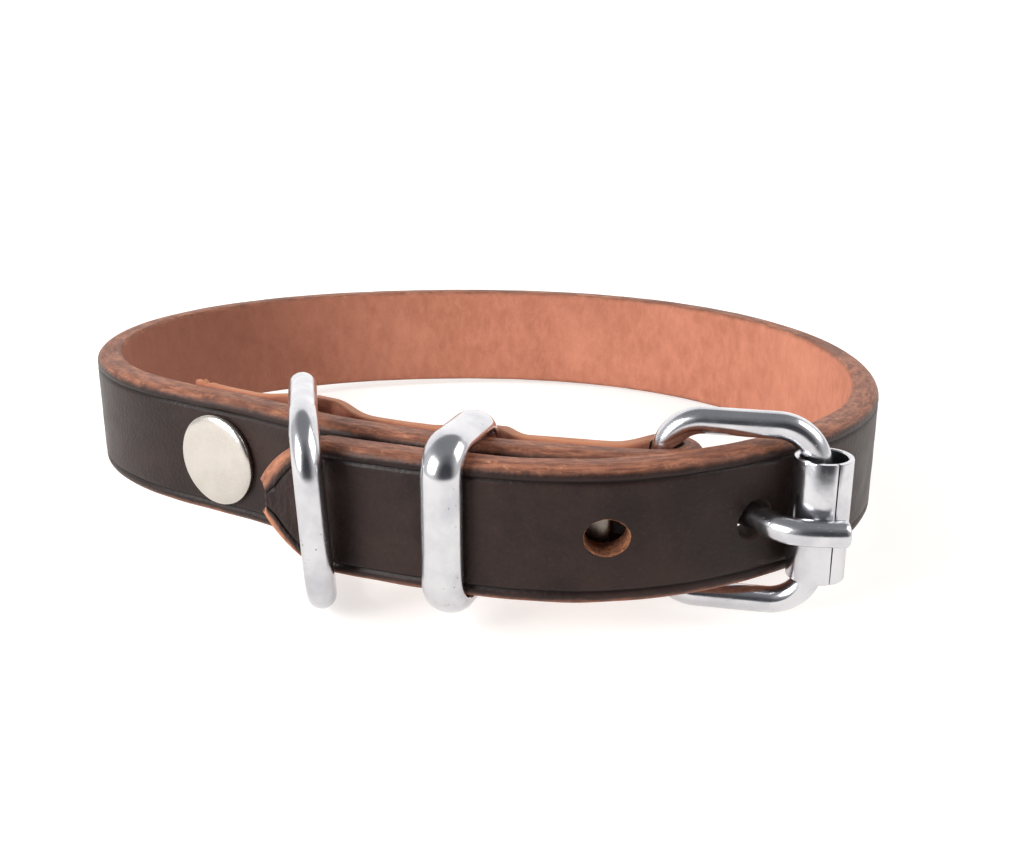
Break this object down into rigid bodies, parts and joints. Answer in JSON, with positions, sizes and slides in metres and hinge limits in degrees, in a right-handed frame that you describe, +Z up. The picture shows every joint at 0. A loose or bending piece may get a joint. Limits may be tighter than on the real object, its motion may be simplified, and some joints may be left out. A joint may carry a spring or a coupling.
{
  "type": "dog collar",
  "caption": "Narrow flat leather pet collar, fastened by a roller buckle, with keeper loop, dee ring and double-cap rivets",
  "frame": {"origin": "middle of the base of the collar's bounding box, on the table it stands on", "axes": "+Z up, +X along the longest side, -Y towards the buckle side"},
  "size_m": [0.0896, 0.0784, 0.0207],
  "materials": {
    "bridle_leather": "dark brown grain side with a waxed satin finish, tan flesh side, burnished reddish edges",
    "chromed_steel": "bright chrome plate with fine pits",
    "rivet_nickel": "warm nickel plate, lightly brushed"
  },
  "bodies": {
    "collar": {"strap": "bridle_leather", "rivet_left_front": "rivet_nickel", "rivet_left_back": "rivet_nickel", "rivet_middle_front": "rivet_nickel", "rivet_middle_back": "rivet_nickel", "rivet_right_front": "rivet_nickel", "rivet_right_back": "rivet_nickel"},
    "buckle_frame": {"buckle_frame": "chromed_steel"},
    "buckle_prong": {"buckle_prong": "chromed_steel"},
    "buckle_roller": {"buckle_roller": "chromed_steel"},
    "keeper": {"keeper_loop": "chromed_steel"},
    "dee": {"dee_ring": "chromed_steel"}
  },
  "joints": [
    {"name": "frame_swing", "type": "hinge", "parent": "collar", "child": "buckle_frame", "pos_m": [0.01858, -0.03092, 0.01048], "axis": [0.0244, 0.0488, 0.9985], "range_deg": [-2, 1]},
    {"name": "prong_swing", "type": "hinge", "parent": "buckle_frame", "child": "buckle_prong", "pos_m": [0.01858, -0.03092, 0.01048], "axis": [0.0244, 0.0488, 0.9985], "range_deg": [-2, 0]},
    {"name": "roller_spin", "type": "hinge", "parent": "buckle_frame", "child": "buckle_roller", "pos_m": [0.03227, -0.03394, 0.01029], "axis": [0.0244, 0.0488, 0.9985], "continuous": true},
    {"name": "dee_swing", "type": "hinge", "parent": "collar", "child": "dee", "pos_m": [-0.01576, -0.01817, 0.01004], "axis": [-0.0255, 0.0403, 0.9989], "range_deg": [-70, 0]},
    {"name": "keeper_slide", "type": "slide", "parent": "collar", "child": "keeper", "axis": [0.95, -0.3121, -0.0079], "range_m": [-0.0005, 0.0005]}
  ]
}
